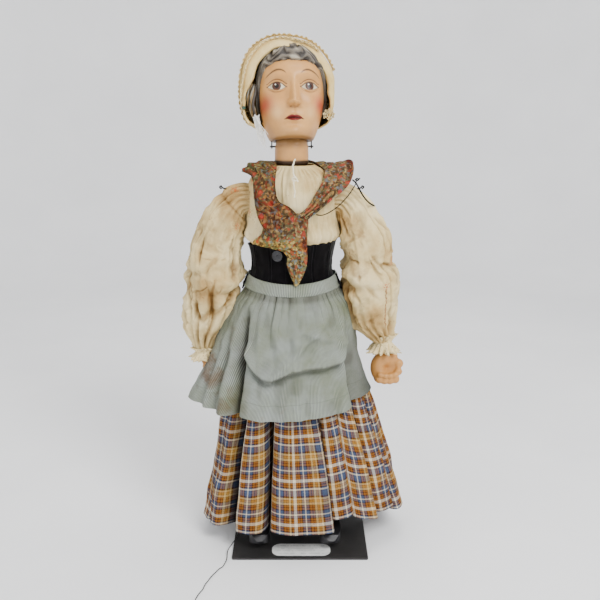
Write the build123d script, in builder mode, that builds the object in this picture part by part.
from build123d import *
from math import cos, radians, sin
import os

# A costumed wooden marionette held on a square display stand.
# Millimetres, +Z up, origin at the centre of the underside of the base plate.
# The figure faces -Y. "left" and "right" are the figure's own, so right is -X.

os.makedirs("parts", exist_ok=True)

# ---- shared by the whole figure ----
MID = -10.5  # the figure hangs a little to its right of the plate centre
RUN = 0.05  # radial clearance of a running pin
FIT = 0.02  # radial clearance of a fixed pin
PIN_R = 2.0  # waist, shoulder, elbow and knee pins
ARM_GAP = 0.1  # side clearance of a tongue in its fork, arms and ankles
BODY_GAP = 0.2  # the same at the waist and knees
ROD_Y = 14.0
ROD_R = 3.5
HIP_DX, HIP_Z = 45.0, 316.0
HIP_AXLE_R = 2.5
WAIST_Z = 382.0
WAIST_TONGUE = 20.0
CHEST_BOTTOM, CHEST_TOP = 400.0, 492.0
SHOULDER_DX, SHOULDER_Z = 70.0, 462.0
SHOULDER_AXLE_R = 3.0
NECK_PIVOT_R = 2.0
NECK_PIVOT_L = 50.0
NECK_PIVOT_DEPTH = 24.0  # the length that is set in the chest
NOD_Z = 526.0
DOME_R = 20.5

FROM_BASE = (Align.CENTER, Align.CENTER, Align.MIN)
FROM_TOP = (Align.CENTER, Align.CENTER, Align.MAX)
ALONG_X = (0, 90, 0)
ALONG_Y = (90, 0, 0)


def save(builder, name):
    builder.part.label = name
    export_step(builder.part, f"parts/{name}.step")


def save_pin(name, centre, radius, length, rotation):
    with BuildPart() as pin:
        with Locations(centre):
            Cylinder(radius, length, rotation=rotation)
    save(pin, name)


def bore(radius, length, rotation, *centres):
    # cuts centred round holes from the part being built
    with Locations(*centres):
        Cylinder(radius, length, rotation=rotation, mode=Mode.SUBTRACT)


def level(x, y, z):
    # a horizontal sketch plane through a point
    return Plane(origin=(x, y, z), x_dir=(1, 0, 0), z_dir=(0, 0, 1))


def start_plane(path):
    # the sketch plane square to the start of a path
    return Plane(origin=path.line @ 0, z_dir=path.line % 0)


def either_side(offset, y, z):
    # two points, right and left of the figure's centre line
    return (MID - offset, y, z), (MID + offset, y, z)


def hollow(wall):
    # the two lofts of a shell: inset of the sections, then what the loft does
    return (0, Mode.ADD), (wall, Mode.SUBTRACT)


def cheek_offset(tongue, cheek, gap):
    # from the middle of a fork to the middle of one cheek
    return (tongue + cheek) / 2 + gap


# ================= display stand =================
PLATE = 178.0
PLATE_T = 3.0
PLATE_CORNER_R = 2.5
TUBE_R = 5.0
TUBE_TOP = 210.0
TUBE_FLOOR_Z = 8.0
COLLAR_R, COLLAR_H, COLLAR_Z = 8.0, 14.0, 201.0
FLANGE_R = 17.0
FLANGE_T = 2.5
FLANGE_TOP = PLATE_T + FLANGE_T
FLANGE_BOLT_R = 11.5
SCREW_R = 1.5
SCREW_END_Z = 0.3
SCREW_HEAD_R, SCREW_HEAD_H = 2.8, 1.6
SLOT_W = 0.7
SLOT_H = 1.4  # half of it lies above the head
THUMB_R, THUMB_L = 2.0, 13.0
THUMB_TIP_Y = ROD_Y + ROD_R + 0.1
KNOB_R, KNOB_T = 7.0, 5.0
LABEL_L, LABEL_W, LABEL_T = 77.0, 30.0, 0.3
LABEL_X, LABEL_Y = 1.5, -69.0
LABEL_CORNER_R = 12.0


def flange_bolts():
    return PolarLocations(FLANGE_BOLT_R, 3, start_angle=90)


with BuildPart() as base_plate:
    with BuildSketch(Plane.XY):
        RectangleRounded(PLATE, PLATE, PLATE_CORNER_R)
    extrude(amount=PLATE_T)
    with Locations((MID, ROD_Y, PLATE_T)):
        with flange_bolts():
            Hole(SCREW_R + FIT)
save(base_plate, "base_plate")

with BuildPart() as stand_tube:
    with Locations((MID, ROD_Y, PLATE_T)):
        Cylinder(FLANGE_R, FLANGE_T, align=FROM_BASE)
        Cylinder(TUBE_R, TUBE_TOP - PLATE_T, align=FROM_BASE)
    with Locations((MID, ROD_Y, COLLAR_Z)):
        Cylinder(COLLAR_R, COLLAR_H)
    with Locations((MID, ROD_Y, TUBE_TOP)):
        Hole(ROD_R + RUN, depth=TUBE_TOP - TUBE_FLOOR_Z)
    with Locations((MID, ROD_Y, FLANGE_TOP)):
        with flange_bolts():
            Hole(SCREW_R + FIT, depth=FLANGE_T)
    # thumb screw hole through the back of the collar
    bore(THUMB_R + FIT, 7, ALONG_Y, (MID, ROD_Y + 6, COLLAR_Z))
save(stand_tube, "stand_tube")

with BuildPart() as flange_screws:
    with Locations((MID, ROD_Y, SCREW_END_Z)):
        with flange_bolts():
            Cylinder(SCREW_R, FLANGE_TOP - SCREW_END_Z, align=FROM_BASE)
    with Locations((MID, ROD_Y, FLANGE_TOP)):
        with flange_bolts():
            Cylinder(SCREW_HEAD_R, SCREW_HEAD_H, align=FROM_BASE)
    with Locations((MID, ROD_Y, FLANGE_TOP + SCREW_HEAD_H)):
        with flange_bolts():
            Box(2 * SCREW_HEAD_R, SLOT_W, SLOT_H, mode=Mode.SUBTRACT)
save(flange_screws, "flange_screws")

with BuildPart() as thumb_screw:
    with Locations((MID, THUMB_TIP_Y + THUMB_L / 2, COLLAR_Z)):
        Cylinder(THUMB_R, THUMB_L, rotation=ALONG_Y)
    with Locations((MID, THUMB_TIP_Y + THUMB_L + KNOB_T / 2, COLLAR_Z)):
        Cylinder(KNOB_R, KNOB_T, rotation=ALONG_Y)
    # both rims of the knob
    fillet(thumb_screw.edges().filter_by(GeomType.CIRCLE).group_by(SortBy.RADIUS)[-1], 0.8)
save(thumb_screw, "thumb_screw")

with BuildPart() as paper_label:
    with BuildSketch(level(LABEL_X, LABEL_Y, PLATE_T)):
        RectangleRounded(LABEL_L, LABEL_W, LABEL_CORNER_R)
    extrude(amount=LABEL_T)
save(paper_label, "paper_label")

# a broken control string that trails from under the hem to the floor
STRING_R = 0.5
THREAD_PATH = [
    (-75, -50, 60),
    (-81, -62, 26),
    (-94, -70, 6),
    (-97, -97, 0.6),
    (-104.5, -114, 0.6),
    (-112.8, -132, 0.6),
    (-126, -178, 0.6),
]
with BuildPart() as loose_thread:
    with BuildLine() as loose_line:
        Spline(THREAD_PATH)
    with BuildSketch(start_plane(loose_line)):
        Circle(STRING_R)
    sweep()
save(loose_thread, "loose_thread")

# ================= pelvis group =================
ROD_BOTTOM, ROD_L = 60.0, 218.0
SADDLE_TOP = 285.9
SADDLE_T = 3.0
SADDLE_L, SADDLE_W = 60.0, 40.0
SADDLE_LIP_Y, SADDLE_LIP_H = 28.4, 12.0
BOSS_R, BOSS_H = 8.0, 13.0
SOCKET_DEPTH = 8.2
PELVIS_Z, PELVIS_H = 338.0, 30.0  # the oval upper block
WAIST_CHEEK = 7.8
WAIST_CHEEK_R = 11.0
WAIST_CHEEK_BASE = 366.0
WAIST_CHEEK_DX = cheek_offset(WAIST_TONGUE, WAIST_CHEEK, BODY_GAP)
HIP_AXLE_HALF = 61.4
HIP_HEAD_R, HIP_HEAD_T = 4.5, 2.0

with BuildPart() as lift_rod:
    with Locations((MID, ROD_Y, ROD_BOTTOM)):
        Cylinder(ROD_R, ROD_L, align=FROM_BASE)
save(lift_rod, "lift_rod")

# tray under the pelvis, with a lip front and back and a boss for the rod
with BuildPart() as saddle:
    with Locations((MID, ROD_Y, SADDLE_TOP - SADDLE_T)):
        Cylinder(BOSS_R, BOSS_H, align=FROM_TOP)
    with Locations((MID, 0, SADDLE_TOP)):
        Box(SADDLE_W, SADDLE_L, SADDLE_T, align=FROM_TOP)
    with Locations((MID, -SADDLE_LIP_Y, SADDLE_TOP), (MID, SADDLE_LIP_Y, SADDLE_TOP)):
        Box(SADDLE_W, SADDLE_T, SADDLE_LIP_H, align=FROM_BASE)
    with Locations((MID, ROD_Y, SADDLE_TOP - SADDLE_T - BOSS_H)):
        Cylinder(ROD_R + FIT, SOCKET_DEPTH, align=FROM_BASE, mode=Mode.SUBTRACT)
save(saddle, "saddle")

with BuildPart() as pelvis_block:
    with BuildSketch(level(MID, 0, PELVIS_Z)):
        Ellipse(44, 29)
    extrude(amount=PELVIS_H)
    with Locations((MID, 0, SADDLE_TOP + 0.1)):
        Box(57, 52, PELVIS_Z - SADDLE_TOP, align=FROM_BASE)
    # fork for the tongue of the chest
    with Locations(*either_side(WAIST_CHEEK_DX, 0, WAIST_CHEEK_BASE)):
        Box(WAIST_CHEEK, 2 * WAIST_CHEEK_R, WAIST_Z - WAIST_CHEEK_BASE, align=FROM_BASE)
    with Locations(*either_side(WAIST_CHEEK_DX, 0, WAIST_Z)):
        Cylinder(WAIST_CHEEK_R, WAIST_CHEEK, rotation=ALONG_X)
    bore(PIN_R + FIT, 44, ALONG_X, (MID, 0, WAIST_Z))
    bore(HIP_AXLE_R + FIT, 80, ALONG_X, (MID, 0, HIP_Z))
save(pelvis_block, "pelvis_block")

with BuildPart() as hip_axle:
    with Locations((MID, 0, HIP_Z)):
        Cylinder(HIP_AXLE_R, 2 * HIP_AXLE_HALF, rotation=ALONG_X)
    with Locations(*either_side(HIP_AXLE_HALF - HIP_HEAD_T / 2, 0, HIP_Z)):
        Cylinder(HIP_HEAD_R, HIP_HEAD_T, rotation=ALONG_X)
save(hip_axle, "hip_axle")

save_pin("waist_pin", (MID, 0, WAIST_Z), PIN_R, 40, ALONG_X)

# Garment sections are level ellipses: z, centre x, radius in x, radius in y.
SKIRT_WALL = 1.5
SKIRT = (
    (363, MID, 50.5, 36),
    (330, MID, 66, 56),
    (30, 7, 139, 92),
)
APRON_WALL = 1.2
APRON_HEM_Z, APRON_TOP_Z = 182, 361
APRON_EDGE_Y = -22
APRON = (
    (APRON_TOP_Z, MID, 58, 44),
    (330, -9, 80, 62),
    (APRON_HEM_Z, -19, 134, 97),
)
BAND_Z, BAND_H = 361.6, 11.4
BOW_Z = 367.0
BOW_Y = 50.0

# ankle-length plaid skirt, gathered at the waist
with BuildPart() as skirt:
    for inset, mode in hollow(SKIRT_WALL):
        for z, x, radius_x, radius_y in SKIRT:
            with BuildSketch(level(x, 0, z)):
                Ellipse(radius_x - inset, radius_y - inset)
        loft(ruled=True, mode=mode)
save(skirt, "skirt")

# apron: a gathered front panel that flares past the skirt on its right
with BuildPart() as apron_panel:
    for inset, mode in hollow(APRON_WALL):
        for z, x, radius_x, radius_y in APRON:
            with BuildSketch(level(x, 0, z)):
                Ellipse(radius_x - inset, radius_y - inset)
        loft(ruled=True, mode=mode)
    # keep only the front of the shell
    with Locations((0, APRON_EDGE_Y, APRON_HEM_Z)):
        Box(
            400,
            100,
            APRON_TOP_Z - APRON_HEM_Z,
            align=(Align.CENTER, Align.MAX, Align.MIN),
            mode=Mode.INTERSECT,
        )
save(apron_panel, "apron_panel")

# waistband tied at the back in a bow
with BuildPart() as apron_band:
    with BuildSketch(level(MID, 0, BAND_Z)):
        Ellipse(58.3, 44.3)
        Ellipse(56.6, 42.6, mode=Mode.SUBTRACT)
    extrude(amount=BAND_H)
    with Locations((MID, 46.6, BOW_Z)):
        Box(8, 6, 9)
    with Locations(*either_side(14, BOW_Y, BOW_Z)):
        Cylinder(7, 24, rotation=ALONG_X)
    bore(5, 14, ALONG_X, *either_side(16, BOW_Y, BOW_Z))
save(apron_band, "apron_band")

# ================= chest group =================
# z, radius in x, radius in y
CHEST = (
    (CHEST_BOTTOM, 42, 28),
    (440, 48, 33),
    (476, 50, 32),
    (CHEST_TOP, 40, 26),
)
WAIST_TONGUE_R = 10.5
EYE_DX = 30.0
EYE_SHANK_R, EYE_SHANK_L = 1.0, 13.6
EYE_DEPTH = 12.0
EYE_RING_R, EYE_WIRE_R, EYE_RING_DZ = 3.0, 0.8, 4.4

with BuildPart() as chest_block:
    for z, radius_x, radius_y in CHEST:
        with BuildSketch(level(MID, 0, z)):
            Ellipse(radius_x, radius_y)
    loft(ruled=True)
    with Locations((MID, 0, WAIST_Z)):
        Cylinder(WAIST_TONGUE_R, WAIST_TONGUE, rotation=ALONG_X)
        Box(WAIST_TONGUE, 2 * WAIST_TONGUE_R, 20, align=FROM_BASE)
    bore(PIN_R + RUN, 30, ALONG_X, (MID, 0, WAIST_Z))
    bore(SHOULDER_AXLE_R + RUN, 28, ALONG_X, *either_side(40, 0, SHOULDER_Z))
    with Locations((MID, 0, CHEST_TOP)):
        Hole(NECK_PIVOT_R + FIT, depth=NECK_PIVOT_DEPTH)
    with Locations(*either_side(EYE_DX, 0, CHEST_TOP)):
        Hole(EYE_SHANK_R + FIT, depth=EYE_DEPTH)
save(chest_block, "chest_block")

with BuildPart() as neck_pivot:
    with Locations((MID, 0, CHEST_TOP - NECK_PIVOT_DEPTH)):
        Cylinder(NECK_PIVOT_R, NECK_PIVOT_L, align=FROM_BASE)
save(neck_pivot, "neck_pivot")

# two screw eyes that once took the shoulder strings
with BuildPart() as shoulder_eyes:
    with Locations(*either_side(EYE_DX, 0, CHEST_TOP - EYE_DEPTH)):
        Cylinder(EYE_SHANK_R, EYE_SHANK_L, align=FROM_BASE)
    with Locations(*either_side(EYE_DX, 0, CHEST_TOP + EYE_RING_DZ)):
        Torus(EYE_RING_R, EYE_WIRE_R, rotation=ALONG_Y)
save(shoulder_eyes, "shoulder_eyes")

# z, radius in x, radius in y
BLOUSE_OUTER = (
    (380, 49.5, 35.5),
    (408, 54, 42),
    (450, 54.5, 46),
    (486, 54.5, 41),
    (509, 27, 26.9),
)
BLOUSE_INNER = (
    (380, 47.5, 33.5),
    (408, 52, 40),
    (450, 52.4, 44),
    (486, 52.4, 39),
    (509, 25, 24.9),
)
CORSET_OUTER = ((360, 55.8, 41.8), (375, 51.5, 37.5), (408, 57.5, 45))
CORSET_INNER = ((360, 54.3, 40.3), (375, 50.2, 36.2), (408, 56, 43.5))
KERCHIEF = ((487, 59, 46), (512, 33, 32.9))
KERCHIEF_WALL = 2.0
# the hanging tail of the kerchief: x from the centre line, z
KERCHIEF_TAIL = ((-24, 494), (24, 494), (20, 440), (3, 356), (-3, 356), (-22, 440))
TAIL_Y = -50.5
ARMHOLE_R = 13.0

with BuildPart() as blouse:
    for stations, mode in ((BLOUSE_OUTER, Mode.ADD), (BLOUSE_INNER, Mode.SUBTRACT)):
        for z, radius_x, radius_y in stations:
            with BuildSketch(level(MID, 0, z)):
                Ellipse(radius_x, radius_y)
        loft(ruled=True, mode=mode)
    bore(ARMHOLE_R, 130, ALONG_X, (MID, 0, SHOULDER_Z))
save(blouse, "blouse")

# velvet corset with a short tab standing out over each hip
with BuildPart() as corset:
    for stations, mode in ((CORSET_OUTER, Mode.ADD), (CORSET_INNER, Mode.SUBTRACT)):
        for z, radius_x, radius_y in stations:
            with BuildSketch(level(MID, 0, z)):
                Ellipse(radius_x, radius_y)
        loft(ruled=True, mode=mode)
    with Locations(*either_side(62, 0, 351)):
        Box(2, 24, 12)
save(corset, "corset")

with BuildPart() as corset_button:
    with Locations((-28, -44, 394)):
        Cylinder(7, 3.6, rotation=ALONG_Y)
    # the front rim
    fillet(corset_button.edges().filter_by(GeomType.CIRCLE).sort_by(Axis.Y)[0], 1.5)
save(corset_button, "corset_button")

# folded kerchief round the neckline with its tail down the front
with BuildPart() as kerchief:
    for inset, mode in hollow(KERCHIEF_WALL):
        for z, radius_x, radius_y in KERCHIEF:
            with BuildSketch(level(MID, 0, z)):
                Ellipse(radius_x - inset, radius_y - inset)
        loft(ruled=True, mode=mode)
    with BuildSketch(Plane(origin=(MID, TAIL_Y, 0), x_dir=(1, 0, 0), z_dir=(0, -1, 0))):
        Polygon(*KERCHIEF_TAIL, align=None)
    extrude(amount=KERCHIEF_WALL)
    # joins the tail to the collar
    with Locations((MID, -48.6, 490)):
        Box(22, 6.4, 4)
save(kerchief, "kerchief")

# cream drawstring end hanging from the neckline
DRAWSTRING_R = 0.8
DRAWSTRING_PATH = (
    (-6, -26, 510.4),
    (-6, -33, 514.6),
    (-6, -46, 506),
    (-6, -56.5, 488),
    (-7, -57, 470),
)
with BuildPart() as neck_drawstring:
    with BuildLine() as draw_line:
        Spline(*DRAWSTRING_PATH)
    with BuildSketch(start_plane(draw_line)):
        Circle(DRAWSTRING_R)
    sweep()
save(neck_drawstring, "neck_drawstring")

# ends of the cut shoulder strings: two stubs and one loop down the front
STUB_BASES = ((-98, 0, 482), (78, 0, 482))
STUB_L = 10.0
LOOP_PATH = ((60, -10, 489), (60, -50, 482), (42, -63, 452), (20, -62, 432))
with BuildPart() as string_ends:
    with Locations(*STUB_BASES):
        Cylinder(STRING_R, STUB_L, align=FROM_BASE)
    with BuildLine() as loop_line:
        Spline(*LOOP_PATH)
    with BuildSketch(start_plane(loop_line)):
        Circle(STRING_R)
    sweep()
save(string_ends, "string_ends")

# ================= neck and head axes =================
# The head is turned to the figure's left and tilted back about the nod pin.
# Head axes: ACROSS the face to its left, BACK out of the back of the head, CROWN up it.
HEAD_TURN = radians(6.0)
HEAD_TILT = radians(10.0)
ACROSS = Vector(cos(HEAD_TURN), sin(HEAD_TURN), 0)
LEVEL_BACK = Vector(-sin(HEAD_TURN), cos(HEAD_TURN), 0)
CROWN = Vector(0, 0, 1) * cos(HEAD_TILT) + LEVEL_BACK * sin(HEAD_TILT)
BACK = LEVEL_BACK * cos(HEAD_TILT) - Vector(0, 0, 1) * sin(HEAD_TILT)
PIVOT = Vector(MID, 0, NOD_Z)
NOD_PLANE = Plane(origin=PIVOT, x_dir=ACROSS, z_dir=(0, 0, 1))
NECK_SIDE = Plane(origin=(MID, 0, 0), x_dir=ACROSS, z_dir=-LEVEL_BACK)


def head_point(across, back, height):
    return PIVOT + ACROSS * across + BACK * back + CROWN * height


def head_plane(across, back, height):
    # a sketch plane square to the tilted head
    return Plane(origin=head_point(across, back, height), x_dir=ACROSS, z_dir=CROWN)


def face_plane(across, back, height):
    # a sketch plane that looks out of the face
    return Plane(origin=head_point(across, back, height), x_dir=ACROSS, z_dir=-BACK)


NECK_FOOT_Z = CHEST_TOP + 0.3
NECK_FOOT_R = 19.5
NECK_R = 21.5
NECK_PIN_R = 1.0

# turned neck under a domed top, revolved from its half profile
with BuildPart() as neck_block:
    with BuildSketch(NECK_SIDE):
        with BuildLine():
            Polyline(
                (0, NECK_FOOT_Z),
                (NECK_FOOT_R, NECK_FOOT_Z),
                (NECK_FOOT_R, 503),
                (NECK_R, 505),
                (NECK_R, 510),
                (DOME_R, NOD_Z),
            )
            CenterArc((0, NOD_Z), DOME_R, 0, 90)
            Line((0, NOD_Z + DOME_R), (0, NECK_FOOT_Z))
        make_face()
    revolve(axis=Axis((MID, 0, 0), (0, 0, 1)))
    with Locations((MID, 0, CHEST_TOP)):
        Cylinder(
            NECK_PIVOT_R + RUN,
            NECK_PIVOT_L - NECK_PIVOT_DEPTH + 1,
            align=FROM_BASE,
            mode=Mode.SUBTRACT,
        )
    bore(NECK_PIN_R + FIT, 60, ALONG_X, NOD_PLANE)
save(neck_block, "neck_block")

save_pin("neck_pin", NOD_PLANE, NECK_PIN_R, 55, ALONG_X)

# ================= head =================
# Sections in head axes: height, half width, half depth, centre in depth.
SKULL = (
    (7, 29, 34, -8),
    (25, 33, 38, -5),
    (50, 39, 44, -1),
    (75, 40.5, 48, 3),
    (100, 36, 44, 5),
    (117, 23, 30, 6),
    (124, 8, 11, 6),
)
HAIR = (
    (45, 44.5, 50, -1),
    (75, 47.5, 55, 3),
    (106, 41.5, 47.5, 5),
)
HAIR_WALL = 3.5
CAP = (
    (26, 52, 52, 8),
    (48, 58, 60, 8),
    (75, 60, 62, 8),
    (105, 55, 57, 8),
    (124, 38, 40, 8),
    (133, 18, 20, 8),
)
CAP_WALL = 2.0
CAP_TOP_WALL = 2.5  # drop of the inner sections above CAP_TOP_FROM
CAP_TOP_FROM = 120
JAW_EYE_X = 25.0
JAW_WIRE_R = 0.8
JAW_SHANK_L = 20.0

with BuildPart() as head_block:
    for height, half_width, half_depth, centre in SKULL:
        with BuildSketch(head_plane(0, centre, height)):
            Ellipse(half_width, half_depth)
    loft(ruled=True)
    # hollow that clears the neck dome
    with Locations(head_plane(0, 0, 0)):
        Sphere(DOME_R + 2, mode=Mode.SUBTRACT)
    with Locations(head_plane(-JAW_EYE_X, 0, 2.6), head_plane(JAW_EYE_X, 0, 2.6)):
        Cylinder(JAW_WIRE_R + FIT, JAW_SHANK_L, align=FROM_BASE, mode=Mode.SUBTRACT)
save(head_block, "head_block")

# two wire eyes under the jaw that hook over the neck pin
with BuildPart() as jaw_eyes:
    with Locations(head_plane(-JAW_EYE_X, 0, 0), head_plane(JAW_EYE_X, 0, 0)):
        Torus(1.85, JAW_WIRE_R, rotation=ALONG_X)
    with Locations(head_plane(-JAW_EYE_X, 0, 1.9), head_plane(JAW_EYE_X, 0, 1.9)):
        Cylinder(JAW_WIRE_R, JAW_SHANK_L, align=FROM_BASE)
save(jaw_eyes, "jaw_eyes")

# hair at the temples and round the back, cut away over the face
with BuildPart() as hair:
    for inset, mode in hollow(HAIR_WALL):
        for height, half_width, half_depth, centre in HAIR:
            with BuildSketch(head_plane(0, centre, height)):
                Ellipse(half_width - inset, half_depth - inset)
        loft(ruled=True, mode=mode)
    with Locations(head_plane(0, -60, 40)):
        Box(120, 90, 58, align=FROM_BASE, mode=Mode.SUBTRACT)
save(hair, "hair")

with BuildPart() as hair_wisps:
    with Locations((-54, -28, 534), (-49, -30, 530)):
        Cylinder(2.0, 26, align=FROM_BASE)
save(hair_wisps, "hair_wisps")

# cap over the crown and the back of the head, open at the face
with BuildPart() as bonnet:
    for height, half_width, half_depth, centre in CAP:
        with BuildSketch(head_plane(0, centre, height)):
            Ellipse(half_width, half_depth)
    loft(ruled=True)
    for height, half_width, half_depth, centre in CAP:
        drop = CAP_TOP_WALL if height > CAP_TOP_FROM else 0
        with BuildSketch(head_plane(0, centre, height - drop)):
            Ellipse(half_width - CAP_WALL, half_depth - CAP_WALL)
    loft(ruled=True, mode=Mode.SUBTRACT)
    with Locations(head_plane(0, -18, 0)):
        Box(200, 100, 200, align=(Align.CENTER, Align.MAX, Align.MIN), mode=Mode.SUBTRACT)
save(bonnet, "bonnet")

# ruffle of lace standing round the face opening, and a small rosette low on the left
with BuildPart() as bonnet_lace:
    with BuildSketch(face_plane(0, -18.6, 75)):
        Ellipse(62, 58)
        Ellipse(53, 49, mode=Mode.SUBTRACT)
        # gap under the chin
        with Locations((0, -58)):
            Rectangle(90, 44, mode=Mode.SUBTRACT)
    extrude(amount=4)
    with Locations(face_plane(44, -26, 34)):
        Cylinder(6, 4)
save(bonnet_lace, "bonnet_lace")

with BuildPart() as bonnet_bead:
    with Locations(head_plane(-60, -27, 44)):
        Sphere(2.2)
save(bonnet_bead, "bonnet_bead")

# ================= arms =================
# side, sign in x, elbow, wrist
ARMS = (
    ("right", -1, Vector(-118, 0, 357), Vector(-127, -4, 250)),
    ("left", 1, Vector(108, 0, 366), Vector(110, -6, 264)),
)
ARM_CHEEK = 4.8
SHOULDER_TONGUE, SHOULDER_CHEEK_R = 10.2, 9.0
SHOULDER_CHEEK_Y = cheek_offset(SHOULDER_TONGUE, ARM_CHEEK, ARM_GAP)
ELBOW_TONGUE, ELBOW_CHEEK_R = 12.2, 9.5
ELBOW_CHEEK_DX = cheek_offset(ELBOW_TONGUE, ARM_CHEEK, ARM_GAP)
ELBOW_W = 2 * ELBOW_CHEEK_DX + ARM_CHEEK
UPPER_ARM_R = 11.0
PEG_R, PEG_L = 3.5, 16.0
# distance past the wrist, outward shift, half width, half thickness
HAND = (
    (0.4, 0, 8, 7.5),
    (12, 1.5, 11.5, 8.5),
    (28, 3, 14, 7.5),
    (42, 4, 12, 5.5),
    (51, 4, 6, 3),
)
THUMB_FINGER_R = 4.6
# full sleeves from the armhole to the wrist: z, centre x, radius
SLEEVES = {
    "right": (
        (480, -86, 19), (455, -93, 27), (410, -110, 31), (374, -118.5, 30),
        (330, -121, 29), (290, -124, 24), (264, -126, 16),
    ),
    "left": (
        (480, 70, 19), (455, 76, 27), (410, 88, 35), (370, 91, 38),
        (330, 97, 34), (290, 104, 28), (276, 106, 22),
    ),
}
SLEEVE_WALL = 1.6
# height above the wrist, radius
CUFF = ((9, 11.5), (3, 12.5), (-4, 18))
CUFF_WALL = 1.3

for side, sign, elbow, wrist in ARMS:
    shoulder = Vector(MID + sign * SHOULDER_DX, 0, SHOULDER_Z)
    arm = elbow - shoulder
    arm_dir = arm.normalized()
    fore_dir = (wrist - elbow).normalized()
    into_forearm = Plane(origin=wrist, x_dir=(1, 0, 0), z_dir=-fore_dir)

    # knuckle: an axle in the chest, a disc and a fork for the arm's tongue
    with BuildPart() as shoulder_link:
        with Locations((MID + sign * 43.5, 0, SHOULDER_Z)):
            Cylinder(SHOULDER_AXLE_R, 24, rotation=ALONG_X)
        with Locations((MID + sign * 55.5, 0, SHOULDER_Z)):
            Cylinder(11, 10, rotation=ALONG_X)
        cheek_x = MID + sign * 65
        with Locations(*[(cheek_x, y, SHOULDER_Z) for y in (-SHOULDER_CHEEK_Y, SHOULDER_CHEEK_Y)]):
            Box(10, ARM_CHEEK, 2 * SHOULDER_CHEEK_R)
        with Locations(*[shoulder + Vector(0, y, 0) for y in (-SHOULDER_CHEEK_Y, SHOULDER_CHEEK_Y)]):
            Cylinder(SHOULDER_CHEEK_R, ARM_CHEEK, rotation=ALONG_Y)
        bore(PIN_R + FIT, 30, ALONG_Y, shoulder)
    save(shoulder_link, f"shoulder_link_{side}")

    save_pin(f"shoulder_pin_{side}", shoulder, PIN_R, 20, ALONG_Y)

    # a tongue at the shoulder, a fork at the elbow
    with BuildPart() as upper_arm:
        with Locations(shoulder):
            Cylinder(8.5, SHOULDER_TONGUE, rotation=ALONG_Y)
        with Locations(Plane(origin=shoulder, x_dir=(0, 1, 0), z_dir=arm)):
            Box(SHOULDER_TONGUE, 15, 17, align=FROM_BASE)
        for reach in (15, arm.length - 18):
            with BuildSketch(Plane(origin=shoulder + arm_dir * reach, x_dir=(0, 1, 0), z_dir=arm)):
                Circle(UPPER_ARM_R)
        loft(ruled=True)
        with Locations(elbow + Vector(0, 0, 22)):
            Box(ELBOW_W, 2 * ELBOW_CHEEK_R, 8, align=FROM_TOP)
        with Locations(*[elbow + Vector(dx, 0, 0) for dx in (-ELBOW_CHEEK_DX, ELBOW_CHEEK_DX)]):
            Box(ARM_CHEEK, 2 * ELBOW_CHEEK_R, 16, align=FROM_BASE)
            Cylinder(ELBOW_CHEEK_R, ARM_CHEEK, rotation=ALONG_X)
        bore(PIN_R + RUN, 30, ALONG_Y, shoulder)
        bore(PIN_R + FIT, 40, ALONG_X, elbow)
    save(upper_arm, f"upper_arm_{side}")

    save_pin(f"elbow_pin_{side}", elbow, PIN_R, ELBOW_W, ALONG_X)

    with BuildPart() as forearm:
        with Locations(elbow):
            Cylinder(9, ELBOW_TONGUE, rotation=ALONG_X)
            Box(ELBOW_TONGUE, 15, 16, align=FROM_TOP)
        for centre, radius in ((elbow + fore_dir * 14, 10.5), (wrist, 8)):
            with BuildSketch(Plane(origin=centre, x_dir=(1, 0, 0), z_dir=fore_dir)):
                Circle(radius)
        loft(ruled=True)
        bore(PIN_R + RUN, 30, ALONG_X, elbow)
        with Locations(into_forearm):
            Cylinder(PEG_R + RUN, PEG_L + 1, align=FROM_BASE, mode=Mode.SUBTRACT)
    save(forearm, f"forearm_{side}")

    # carved mitten hand on a turned peg, thumb outward
    with BuildPart() as hand:
        with Locations(into_forearm):
            Cylinder(PEG_R, PEG_L, align=FROM_BASE)
        for reach, shift, half_width, half_thick in HAND:
            palm_centre = wrist + Vector(shift * sign, 0, 0) + fore_dir * reach
            with BuildSketch(Plane(origin=palm_centre, x_dir=(1, 0, 0), z_dir=fore_dir)):
                Ellipse(half_width, half_thick)
        loft(ruled=True)
        # carries the peg on into the palm
        with Locations(Plane(origin=wrist, x_dir=(1, 0, 0), z_dir=fore_dir)):
            Cylinder(PEG_R, 3, align=FROM_BASE)
        with BuildLine() as thumb_line:
            Line(wrist + Vector(8 * sign, -2, -10), wrist + Vector(23 * sign, -6, -33))
        with BuildSketch(start_plane(thumb_line)):
            Circle(THUMB_FINGER_R)
        sweep()
    save(hand, f"hand_{side}")

    with BuildPart() as sleeve:
        for inset, mode in hollow(SLEEVE_WALL):
            for z, x, radius in SLEEVES[side]:
                with BuildSketch(level(x, 0, z)):
                    Circle(radius - inset)
            loft(ruled=True, mode=mode)
        # opening for the knuckle
        bore(14.5, 18, ALONG_X, (MID + sign * 57, 0, SHOULDER_Z))
    save(sleeve, f"sleeve_{side}")

    with BuildPart() as cuff:
        for inset, mode in hollow(CUFF_WALL):
            for rise, radius in CUFF:
                with BuildSketch(level(wrist.X, wrist.Y, wrist.Z + rise)):
                    Circle(radius - inset)
            loft(ruled=True, mode=mode)
    save(cuff, f"cuff_{side}")

# ================= legs =================
KNEE_Y, KNEE_Z = -12.0, 178.0
KNEE_TONGUE, KNEE_TONGUE_R = 14.4, 10.5
KNEE_CHEEK, KNEE_CHEEK_R = 5.6, 11.0
KNEE_CHEEK_DX = cheek_offset(KNEE_TONGUE, KNEE_CHEEK, BODY_GAP)
ANKLE_DX, ANKLE_Y, ANKLE_Z = 47.0, -20.0, 41.0
ANKLE_TONGUE, ANKLE_TONGUE_R = 10.0, 7.5
ANKLE_SLOT = ANKLE_TONGUE + 2 * ARM_GAP
ANKLE_PIN_R = 1.5
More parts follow.
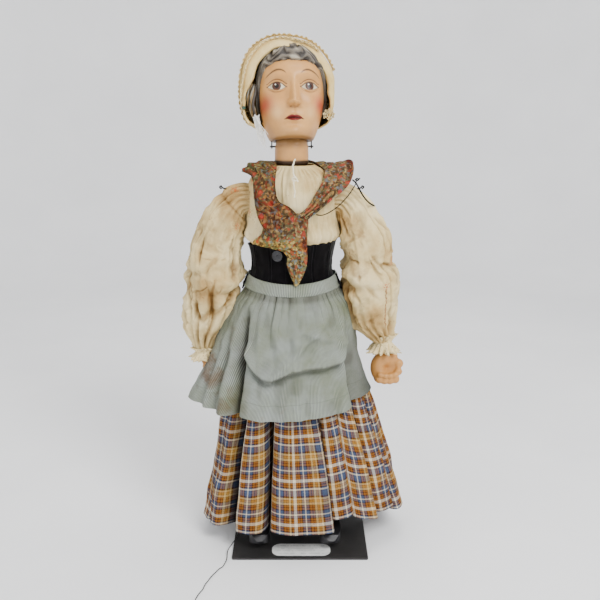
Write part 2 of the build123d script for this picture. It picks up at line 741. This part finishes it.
# z, y, radius in x, radius in y
THIGH = (
    (312, 0, 14, 18.5),
    (250, -5, 16.5, 19),
    (196, -10, 13, 13.5),
)
# z, outward from the knee, y, radius in x, radius in y
SHIN = (
    (160, 0, -13, 12.5, 13),
    (120, 0.6, -14, 13, 14.5),
    (57, ANKLE_DX - HIP_DX, ANKLE_Y, 8.5, 9),
)
# side view of the shoe: distance ahead of the ankle, z
SOLE_Z = 11.0
SHOE_PROFILE = (
    (-15, SOLE_Z), (-16, 30), (-13.5, 46), (13.5, 46), (24, 36),
    (40, 29), (50, 25), (55.5, 19), (54, 15), (40, SOLE_Z),
)
# plan of the shoe: distance ahead of the ankle, distance across
SHOE_PLAN = (
    (-16.5, 0), (-10, 10.5), (12, 11.5), (34, 14), (50, 10),
    (56, 0), (50, -10), (34, -14), (12, -11.5), (-10, -10.5),
)
# both feet turn to the figure's left
FOOT_TURN = radians(5.0)
TOE = Vector(sin(FOOT_TURN), -cos(FOOT_TURN), 0)
FOOT_ACROSS = Vector(cos(FOOT_TURN), sin(FOOT_TURN), 0)

for side, sign in (("right", -1), ("left", 1)):
    leg_x = MID + sign * HIP_DX
    hip = (leg_x, 0, HIP_Z)
    knee = (leg_x, KNEE_Y, KNEE_Z)
    ankle_x = MID + sign * ANKLE_DX
    ankle = (ankle_x, ANKLE_Y, ANKLE_Z)
    shoe_origin = (ankle_x, ANKLE_Y, 0)

    with BuildPart() as thigh:
        with Locations(hip):
            Cylinder(19, 28, rotation=ALONG_X)
        for z, y, radius_x, radius_y in THIGH:
            with BuildSketch(level(leg_x, y, z)):
                Ellipse(radius_x, radius_y)
        loft(ruled=True)
        with Locations(*[(leg_x + dx, KNEE_Y, KNEE_Z) for dx in (-KNEE_CHEEK_DX, KNEE_CHEEK_DX)]):
            Box(KNEE_CHEEK, 2 * KNEE_CHEEK_R, 20, align=FROM_BASE)
            Cylinder(KNEE_CHEEK_R, KNEE_CHEEK, rotation=ALONG_X)
        bore(HIP_AXLE_R + RUN, 40, ALONG_X, hip)
        bore(PIN_R + FIT, 40, ALONG_X, knee)
    save(thigh, f"thigh_{side}")

    save_pin(f"knee_pin_{side}", knee, PIN_R, 25.8, ALONG_X)

    with BuildPart() as shin:
        with Locations(knee):
            Cylinder(KNEE_TONGUE_R, KNEE_TONGUE, rotation=ALONG_X)
            Box(KNEE_TONGUE, 20, 20, align=FROM_TOP)
        for z, shift, y, radius_x, radius_y in SHIN:
            with BuildSketch(level(leg_x + sign * shift, y, z)):
                Ellipse(radius_x, radius_y)
        loft(ruled=True)
        with Locations(ankle):
            Cylinder(ANKLE_TONGUE_R, ANKLE_TONGUE, rotation=ALONG_X)
            Box(ANKLE_TONGUE, 14, 17, align=FROM_BASE)
        bore(PIN_R + RUN, 40, ALONG_X, knee)
        bore(ANKLE_PIN_R + RUN, 30, ALONG_X, ankle)
    save(shin, f"shin_{side}")

    # carved shoe: side profile extruded, trimmed to the plan, slotted for the ankle
    with BuildPart() as shoe:
        with BuildSketch(Plane(origin=shoe_origin, x_dir=TOE, z_dir=-FOOT_ACROSS)):
            with BuildLine():
                Polyline(*SHOE_PROFILE, close=True)
            make_face()
        extrude(amount=16, both=True)
        with BuildSketch(Plane(origin=shoe_origin, x_dir=TOE, z_dir=(0, 0, 1))):
            with BuildLine():
                Spline(*SHOE_PLAN, periodic=True)
            make_face()
        extrude(amount=60, mode=Mode.INTERSECT)
        with Locations(ankle):
            Box(ANKLE_SLOT, 24, 20, align=FROM_BASE, mode=Mode.SUBTRACT)
            Cylinder(8.2, ANKLE_SLOT, rotation=ALONG_X, mode=Mode.SUBTRACT)
            Cylinder(ANKLE_PIN_R + FIT, 40, rotation=ALONG_X, mode=Mode.SUBTRACT)
    save(shoe, f"shoe_{side}")

    save_pin(f"ankle_pin_{side}", ankle, ANKLE_PIN_R, 19, ALONG_X)
